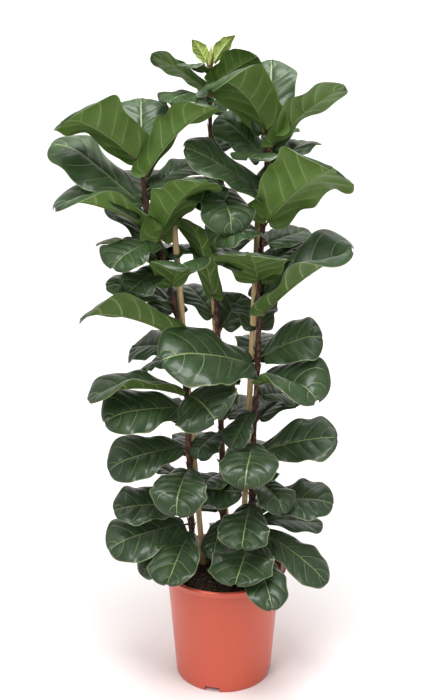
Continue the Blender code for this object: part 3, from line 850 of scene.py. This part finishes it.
def leaf_materials(settings):
    """Material sets by age: new, bright, middle and old."""
    old_foot = (0.10, 0.055, 0.030)
    sets = {}
    for name, share, roughness in (("bright", 0.45, 0.40), ("middle", 0.20, 0.38),
                                   ("old", 0.0, 0.36)):
        upper = blend(settings.upper, (0.026, 0.066, 0.015), share)
        under = blend(shade(settings.under, 0.70), shade(settings.under, 1.6), share * 1.9)
        sets[name] = (leaf_upper(f"leaf_upper_{name}", upper, settings.vein, roughness, 0.30),
                      leaf_under(f"leaf_under_{name}", under, settings.vein, 0.50),
                      rib_material(f"leaf_rib_{name}", settings.vein, old_foot))
    pale = blend(settings.young, (0.5, 0.55, 0.25), 0.5)
    sets["new"] = (leaf_upper("leaf_upper_new", settings.young, pale, 0.36, 0.25),
                   leaf_under("leaf_under_new", shade(settings.young, 1.15), pale, 0.48),
                   rib_material("leaf_rib_new", pale, (0.30, 0.30, 0.08)))
    return sets


def leaf_age(values):
    height, width = values[1], values[3]
    if width < NEW_LEAF_WIDTH:
        return "new"
    return "bright" if height > BRIGHT_ABOVE else "middle" if height > MIDDLE_ABOVE else "old"


def leaf_rows():
    """Each named leaf with its stem and its row, in order."""
    return [(f"{stem}_leaf_{k:02d}", (stem, *row))
            for stem, rows in LEAVES.items() for k, row in enumerate(rows, 1)]


def filler_rows():
    return [(f"filler_leaf_{k:02d}", row) for k, row in enumerate(FILLERS, 1)]


def grow(settings, rows, first_seed, cad):
    """Builds a group of leaves, each drawn from a seed of its own."""
    sets = leaf_materials(settings)
    for seed, (name, values) in enumerate(rows, first_seed):
        leaf_object(name, values, seed, settings, sets[leaf_age(values)], cad)


class FIG_OT_leaves(bpy.types.Operator):
    """Build the leaves of all three stems"""
    bl_idname = "fig.leaves"
    bl_label = "Leaves"

    def execute(self, context):
        grow(context.scene.fig_leaf, leaf_rows(), 0, True)
        return {"FINISHED"}


class FIG_OT_filler_leaves(bpy.types.Operator):
    """Build the inner and back leaves"""
    bl_idname = "fig.filler_leaves"
    bl_label = "Inner and back leaves"

    def execute(self, context):
        grow(context.scene.fig_leaf, filler_rows(), FILLER_SEED, False)
        return {"FINISHED"}


# --- stems, sheaths, buds, stakes and tie ---------------------------------------------------

def node_heights(stem):
    """Heights of a stem's leaf joints, in metres."""
    held = [row[1] * CM for _, row in leaf_rows() + filler_rows() if row[0] == stem]
    spaced = []
    z = SOIL_LINE + 0.03
    while z < stem_top(stem) - 0.01:
        if all(abs(z - other) > 0.012 for other in held):
            spaced.append(z)
        z += 0.021
    return sorted(held), spaced


class FIG_OT_stems(bpy.types.Operator):
    """Build the woody stems with their leaf joints"""
    bl_idname = "fig.stems"
    bl_label = "Stems"

    def execute(self, context):
        bark = bark_material()
        for name in STEMS:
            held, spaced = node_heights(name)
            joints = np.array(held + spaced)
            low = SOIL_LINE - STEM_DEPTH
            high = stem_top(name)

            def place(along, angle):
                z = low + (high - low) * along
                swell = float(np.exp(-((joints - z) / 0.0022) ** 2).sum())
                swirl = level_out(angle)
                rough = noise.noise(Vector((swirl.x * 1.5, swirl.y * 1.5, z * 60)))
                radius = stem_radius(name, z) * (0.94 + 0.10 * min(swell, 1.0) + 0.07 * rough)
                return stem_point(name, z) + swirl * radius

            belongs(tube(place, 260, 14, f"{name}_stem_bark", bark), "bark", f"{name}_stem")
        return {"FINISHED"}


def add_sheath(build, stem, z, bearing, length, spread, flare):
    """A papery pointed sheath that hugs the stem and opens towards its tip."""
    made = bmesh.ops.create_grid(build, x_segments=7, y_segments=4, size=1.0)["verts"]
    for v in made:
        along = (v.co.x + 1) / 2
        across = v.co.y * (1 - along ** 1.6) * spread
        height = z + length * along
        radius = stem_radius(stem, z) + 0.0007 + flare * along ** 2
        angle = bearing + across
        around = level_out(angle)
        v.co = stem_point(stem, min(height, stem_top(stem))) + around * radius
        v.co.z = height


class FIG_OT_sheaths(bpy.types.Operator):
    """Build the brown papery sheaths at the leaf joints"""
    bl_idname = "fig.sheaths"
    bl_label = "Sheaths"

    def execute(self, context):
        brown = sheath_material("dry_sheath", (0.055, 0.025, 0.015), (0.24, 0.12, 0.065))
        for seed, name in enumerate(STEMS):
            draw = random.Random(seed + 7)
            held, spaced = node_heights(name)
            build = bmesh.new()
            for z in held + spaced:
                bearing = draw.uniform(0, 2 * math.pi)
                for turn in (0.0, math.pi * draw.uniform(0.7, 1.2)):
                    add_sheath(build, name, z + 0.002, bearing + turn, draw.uniform(0.010, 0.022),
                               draw.uniform(0.7, 1.2), draw.uniform(0.001, 0.006))
            item = to_object(build, f"{name}_stem_sheaths", [brown])
            wall = item.modifiers.new("paper", "SOLIDIFY")
            wall.thickness = 0.0003
            wall.offset = 1.0
            belongs(item, "bark")
        return {"FINISHED"}


class FIG_OT_buds(bpy.types.Operator):
    """Build the pointed bud at the tip of each stem"""
    bl_idname = "fig.buds"
    bl_label = "Buds"

    def execute(self, context):
        green = sheath_material("bud_sheath", (0.26, 0.32, 0.07), (0.50, 0.52, 0.18))
        for name, length in (("left", 0.030), ("right", 0.030), ("rear", 0.034)):
            foot = stem_point(name, stem_top(name) - 0.002)

            def place(along, angle):
                radius = 0.0040 * (1 - along) ** 0.7 * (1 + 0.5 * math.sin(math.pi * along))
                bend = Vector((0.004, -0.003, 0.0)) * along ** 2
                ridge = 1 + 0.12 * math.cos(2 * angle + 3 * along)
                swirl = level_out(angle) * max(radius, 1e-5) * ridge
                return foot + bend + swirl + Vector((0.0, 0.0, length * along))

            belongs(tube(place, 14, 12, f"{name}_bud", green), "young_leaf")
        return {"FINISHED"}


class FIG_OT_stakes(bpy.types.Operator):
    """Build the three wooden stakes"""
    bl_idname = "fig.stakes"
    bl_label = "Stakes"

    def execute(self, context):
        wood = wood_material()
        for name in STAKES:
            foot, head = stake_ends(name)
            ahead = (head - foot).normalized()
            side = ahead.cross(Vector((0, 1, 0))).normalized()
            other = ahead.cross(side)
            length = (head - foot).length

            def place(along, angle):
                distance = length * along
                trim = min(1.0, 0.80 + 0.20 * min(distance, length - distance) / 0.0012)
                uneven = 1 + 0.03 * noise.noise(Vector((math.cos(angle), math.sin(angle),
                                                        distance * 30)))
                radius = STAKE_RADIUS * trim * uneven
                return (foot + ahead * distance
                        + side * math.cos(angle) * radius + other * math.sin(angle) * radius)

            belongs(tube(place, 180, 20, f"{name}_stake_wood", wood), "pale_wood", f"{name}_stake")
        return {"FINISHED"}


class FIG_OT_tie(bpy.types.Operator):
    """Build the wire tie that holds the right stem to its stake"""
    bl_idname = "fig.tie"
    bl_label = "Tie"

    def execute(self, context):
        low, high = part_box("stem_tie")
        z = (low.z + high.z) / 2
        wire = (high.z - low.z) / 2
        stem = stem_point("right", z)
        foot, head = stake_ends("right")
        stake = foot + (head - foot) * (z - foot.z) / (head.z - foot.z)
        across = (stem - stake).normalized()
        turn = math.atan2(across.y, across.x)
        route = []
        for centre, radius, start in ((stem, stem_radius("right", z), -90.0),
                                      (stake, STAKE_RADIUS, 90.0)):
            for k in range(13):
                angle = turn + math.radians(start + 15.0 * k)
                out = level_out(angle)
                route.append(centre + out * (radius + wire * 0.9))
        count = len(route)

        def place(along, angle):
            step = along * count
            k = int(step) % count
            share = step - int(step)
            here = route[k].lerp(route[(k + 1) % count], share)
            ahead = (route[(k + 1) % count] - route[k]).normalized()
            side = ahead.cross(Vector((0, 0, 1)))
            twist = 1 + 0.18 * math.cos(2 * angle + along * 90)
            return (here + side * math.cos(angle) * wire * 0.6 * twist
                    + Vector((0, 0, 1)) * math.sin(angle) * wire * twist)

        belongs(tube(place, count * 4, 10, "stem_tie_wire", tie_material()), "tie", "stem_tie")
        return {"FINISHED"}


# --- pot and soil ---------------------------------------------------------------------------

def pot_skin(settings):
    """The pot's outline as (radius, height) from the middle of its underside round to the middle
    of its floor."""
    top, rim = POT_HIGH.z, POT_HIGH.x
    wall, foot = settings.wall, settings.foot_height
    slope = (BODY_TOP - BODY_BASE) / top

    def body(z):
        return BODY_BASE + slope * z

    lip = top - LIP_HEIGHT
    return [
        (0.0, 0.0), (0.011, 0.0), (0.012, 0.0008), (0.012, foot), (0.050, foot),
        (body(foot) - 0.008, foot), (body(foot), foot), (body(foot + 0.006), foot + 0.006),
        *[(body(foot + (lip - foot) * k / 12), foot + (lip - foot) * k / 12)
          for k in range(1, 12)],
        (body(lip - 0.0030), lip - 0.0030), (body(lip) + 0.0002, lip + 0.0004),
        (body(lip) + 0.0012, lip + 0.0016), (rim - 0.0060, lip + 0.0018),
        (rim - 0.0058, lip), (rim - 0.0050, lip - 0.0008), (rim - 0.0040, lip),
        (rim - 0.0034, lip + 0.0016), (rim - 0.0024, top - 0.0064), (rim - 0.0012, top - 0.0050),
        (rim - 0.0002, top - 0.0036), (rim, top - 0.0022), (rim - 0.0007, top - 0.0008),
        (rim - 0.0024, top), (rim - 0.0046, top - 0.0005), (BODY_TOP + 0.0024, top - 0.0030),
        (BODY_TOP + 0.0002, top - 0.0046), (BODY_TOP - wall, top - 0.0072),
        *[(body(lip - (lip - foot) * k / 6) - wall, lip - (lip - foot) * k / 6)
          for k in range(0, 5)],
        (body(foot + 0.008) - wall, foot + wall + 0.006), (body(foot) - wall - 0.003, foot + wall),
        (0.050, foot + wall), (0.0, foot + wall),
    ]


def add_foot(build, settings, low, high):
    """One stretch of the foot ring between two bearings, closed at both ends."""
    foot = settings.foot_height
    outer = BODY_BASE + (BODY_TOP - BODY_BASE) * foot / POT_HIGH.z
    ring = [(BODY_BASE - 0.0060, foot), (BODY_BASE - 0.0058, 0.0008), (BODY_BASE - 0.0050, 0.0),
            (BODY_BASE - 0.0006, 0.0), (BODY_BASE - 0.0001, 0.0005), (outer, foot)]
    turn = Matrix.Rotation(low, 3, "Z")
    verts = [build.verts.new(turn @ Vector((r, 0.0, z))) for r, z in ring]
    start = build.faces.new(verts)
    bmesh.ops.spin(build, geom=[start], cent=(0, 0, 0), axis=(0, 0, 1),
                   angle=high - low, steps=FOOT_STEPS, use_duplicate=False)
    bmesh.ops.recalc_face_normals(build, faces=build.faces)


class FIG_OT_pot(bpy.types.Operator):
    """Build the plastic nursery pot"""
    bl_idname = "fig.pot"
    bl_label = "Pot"

    def execute(self, context):
        settings = context.scene.fig_pot
        plastic = plastic_material(settings.colour)
        shell = crease(turned(pot_skin(settings), POT_STEPS))
        belongs(to_object(shell, "pot_shell", [plastic]), "terracotta_plastic", "pot")
        build = bmesh.new()
        half = settings.notch_width / 2 / BODY_BASE
        for k in range(NOTCHES):
            low = math.radians(NOTCH_FIRST_BEARING) + 2 * math.pi * k / NOTCHES + half
            add_foot(build, settings, low, low + 2 * math.pi / NOTCHES - 2 * half)
        belongs(to_object(crease(build), "pot_foot", [plastic]), "terracotta_plastic")
        self.drains(settings)
        return {"FINISHED"}

    def drains(self, settings):
        """Dark discs of painted shade that stand for the floor's drain holes, each with a raised
        edge.
        """
        dark = peat_material("drain_shadow", (0.004, 0.003, 0.002), (0.012, 0.007, 0.005))
        build = bmesh.new()
        for k in range(DRAIN_HOLES):
            bearing = 2 * math.pi * (k + 0.5) / DRAIN_HOLES
            place = Matrix.Translation((DRAIN_CIRCLE * math.cos(bearing),
                                        DRAIN_CIRCLE * math.sin(bearing),
                                        settings.foot_height - 0.0001))
            bmesh.ops.create_cone(build, cap_ends=True, segments=32, radius1=DRAIN_RADIUS,
                                  radius2=DRAIN_RADIUS, depth=0.0008, matrix=place)
        belongs(to_object(build, "drain_hole_shade", [dark], smooth=False), "terracotta_plastic")


class FIG_OT_soil(bpy.types.Operator):
    """Build the peat with its crumbs and fibres"""
    bl_idname = "fig.soil"
    bl_label = "Soil"

    def execute(self, context):
        peat = peat_material("peat", (0.016, 0.009, 0.006), (0.095, 0.046, 0.026))
        radius = SOIL_HIGH.x - 0.0008
        top = SOIL_HIGH.z - 0.003
        build = bmesh.new()
        grid = bmesh.ops.create_grid(build, x_segments=110, y_segments=110, size=1.0)["verts"]
        for v in grid:
            x, y = v.co.x, v.co.y
            disc = Vector((x * math.sqrt(1 - y * y / 2), y * math.sqrt(1 - x * x / 2), 0.0))
            lump = noise.fractal(disc * 26, 0.7, 2.2, 5) * 0.0022
            lump += noise.noise(disc * 4) * 0.0015
            v.co = disc * radius
            v.co.z = top - SOIL_CROWN * disc.length ** 2 + lump
        rim = [e for e in build.edges if e.is_boundary]
        skirt = bmesh.ops.extrude_edge_only(build, edges=rim)["geom"]
        for v in [g for g in skirt if isinstance(g, bmesh.types.BMVert)]:
            v.co = Vector((v.co.x * 0.86, v.co.y * 0.86, SOIL_LOW.z + 0.001))
        open_edges = [e for e in build.edges if e.is_boundary]
        bmesh.ops.holes_fill(build, edges=open_edges, sides=0)
        bmesh.ops.recalc_face_normals(build, faces=build.faces)
        belongs(to_object(build, "peat_surface", [peat]), "peat", "soil")
        self.crumbs(peat, radius, top)
        self.fibres(radius, top)
        return {"FINISHED"}

    def fibres(self, radius, top):
        """Short bent strands lying in the peat."""
        draw = random.Random(11)
        straw = sheath_material("peat_fibre", (0.075, 0.030, 0.016), (0.30, 0.17, 0.09))
        build = bmesh.new()
        for _ in range(FIBRES):
            spot = math.sqrt(draw.random()) * radius * 0.95
            bearing, heading = draw.uniform(0, 2 * math.pi), draw.uniform(0, 2 * math.pi)
            length, bend = draw.uniform(0.008, 0.026), draw.uniform(-1.4, 1.4)
            thick, tilt = draw.uniform(0.00018, 0.00045), draw.uniform(-0.1, 0.35)
            centre = Vector((spot * math.cos(bearing), spot * math.sin(bearing),
                             top - SOIL_CROWN * (spot / radius) ** 2 + 0.0012))

            def place(along, angle):
                turn = heading + bend * (along - 0.5)
                run = Vector((math.cos(turn), math.sin(turn), tilt * along))
                run = run * (along - 0.5) * length
                side = Vector((-math.sin(turn), math.cos(turn), 0.0)) * math.cos(angle)
                return centre + run + (side + Vector((0.0, 0.0, math.sin(angle)))) * thick

            add_tube(build, place, 5, 4)
        belongs(to_object(build, "peat_fibres", [straw]), "peat")

    def crumbs(self, peat, radius, top):
        draw = random.Random(3)
        perlite = peat_material("perlite", (0.55, 0.52, 0.46), (0.75, 0.73, 0.68))
        for name, count, low, high, finish in (("peat_crumbs", CRUMBS, 0.0010, 0.0036, peat),
                                               ("perlite_grains", PERLITE_GRAINS, 0.0008, 0.0018,
                                                perlite)):
            build = bmesh.new()
            for _ in range(count):
                spot = math.sqrt(draw.random()) * radius * 0.97
                angle = draw.uniform(0, 2 * math.pi)
                size = draw.uniform(low, high)
                place = Vector((spot * math.cos(angle), spot * math.sin(angle),
                                top - SOIL_CROWN * (spot / radius) ** 2 + size * 0.3))
                shape = Matrix.Diagonal((size, size * draw.uniform(0.5, 1.0),
                                         size * draw.uniform(0.4, 0.8), 1.0))
                spin = Matrix.Rotation(draw.uniform(0, 6.3), 4, "Z")
                tilt = Matrix.Rotation(draw.uniform(-0.6, 0.6), 4, "X")
                bmesh.ops.create_icosphere(build, subdivisions=1, radius=1.0,
                                           matrix=Matrix.Translation(place) @ spin @ tilt @ shape)
            for v in build.verts:
                v.co += noise.noise_vector(v.co * 900) * 0.0005
            belongs(to_object(build, name, [finish], smooth=False), "peat")


# --- stage ----------------------------------------------------------------------------------

def area_light(name, place, target, size, power):
    data = bpy.data.lights.new(name, "AREA")
    data.shape = "DISK"
    data.size = size
    data.energy = power
    lamp = bpy.data.objects.new(name, data)
    bpy.context.scene.collection.objects.link(lamp)
    lamp.location = place
    lamp.rotation_mode = "QUATERNION"
    lamp.rotation_quaternion = (Vector(target) - Vector(place)).to_track_quat("-Z", "Y")


class FIG_OT_stage(bpy.types.Operator):
    """Set the floor, backdrop, lights and camera"""
    bl_idname = "fig.stage"
    bl_label = "Stage"

    def execute(self, context):
        settings = context.scene.fig_stage
        build = bmesh.new()
        length, depth, bend, rise = 7.4, 3.4, 0.6, 3.2
        grid = bmesh.ops.create_grid(build, x_segments=2, y_segments=60, size=1.0)["verts"]
        for v in grid:
            run = (v.co.y + 1) / 2 * (length + math.pi / 2 * bend + rise) - length
            x = v.co.x * 6.0
            if run < 0.0:
                v.co = (x, depth + run, 0.0)
            elif run < math.pi / 2 * bend:
                angle = run / bend
                v.co = (x, depth + math.sin(angle) * bend, bend - math.cos(angle) * bend)
            else:
                v.co = (x, depth + bend, bend + run - math.pi / 2 * bend)
        bmesh.ops.recalc_face_normals(build, faces=build.faces)
        to_object(build, "studio_sweep", [stage_material(settings.floor)])

        middle = (0.0, 0.0, 0.7)
        area_light("key_light", (-1.3, -1.9, 2.3), middle, 1.3, settings.key)
        area_light("fill_light", (1.9, -1.6, 1.3), middle, 1.4, settings.fill)
        area_light("top_light", (0.2, 0.6, 2.6), middle, 1.2, settings.fill)
        area_light("backdrop_light", (0.0, -0.6, 2.8), (0.0, 1.7, 1.0), 1.4, settings.key * 2.2)
        area_light("wall_light", (0.0, 1.7, 3.0), (0.0, 4.0, 1.1), 2.0, settings.key * 2.6)

        scene = context.scene
        world = bpy.data.worlds.new("studio")
        world.use_nodes = True
        world.node_tree.nodes["Background"].inputs["Color"].default_value = (1.0, 1.0, 1.0, 1.0)
        world.node_tree.nodes["Background"].inputs["Strength"].default_value = 0.42
        scene.world = world
        scene.view_settings.view_transform = "Standard"

        data = bpy.data.cameras.new("camera")
        data.sensor_width = 36.0
        data.lens = CAMERA_LENS
        data.clip_end = 50.0
        camera = bpy.data.objects.new("camera", data)
        scene.collection.objects.link(camera)
        camera.location = CAMERA_PLACE
        camera.rotation_euler = (math.radians(90 - CAMERA_TILT), 0.0, 0.0)
        scene.camera = camera
        return {"FINISHED"}


class FIG_PT_panel(bpy.types.Panel):
    """Lists the pieces of the plant"""
    bl_idname = "FIG_PT_panel"
    bl_label = "Fiddle Leaf Fig"
    bl_space_type = "VIEW_3D"
    bl_region_type = "UI"
    bl_category = "Fig"

    def draw(self, context):
        scene = context.scene
        for settings, names in ((scene.fig_pot, ("colour", "wall", "foot_height", "notch_width")),
                                (scene.fig_leaf, ("upper", "under", "vein", "young", "rows",
                                                  "columns", "thickness", "puff", "wave")),
                                (scene.fig_stage, ("floor", "key", "fill"))):
            box = self.layout.box()
            for name in names:
                box.prop(settings, name)
        for operator in OPERATORS:
            self.layout.operator(operator.bl_idname)


# The order in which main() calls them.
OPERATORS = (FIG_OT_pot, FIG_OT_soil, FIG_OT_stakes, FIG_OT_stems, FIG_OT_sheaths, FIG_OT_tie,
             FIG_OT_leaves, FIG_OT_filler_leaves, FIG_OT_buds, FIG_OT_stage)
SETTINGS = (FigPotSettings, FigLeafSettings, FigStageSettings)


def register():
    for item in (*SETTINGS, *OPERATORS, FIG_PT_panel):
        bpy.utils.register_class(item)
    bpy.types.Scene.fig_pot = bpy.props.PointerProperty(type=FigPotSettings)
    bpy.types.Scene.fig_leaf = bpy.props.PointerProperty(type=FigLeafSettings)
    bpy.types.Scene.fig_stage = bpy.props.PointerProperty(type=FigStageSettings)


def unregister():
    del bpy.types.Scene.fig_stage
    del bpy.types.Scene.fig_leaf
    del bpy.types.Scene.fig_pot
    for item in reversed((*SETTINGS, *OPERATORS, FIG_PT_panel)):
        bpy.utils.unregister_class(item)


def main():
    register()
    for operator in OPERATORS:
        group, name = operator.bl_idname.split(".")
        getattr(getattr(bpy.ops, group), name)()


if __name__ == "__main__":
    main()
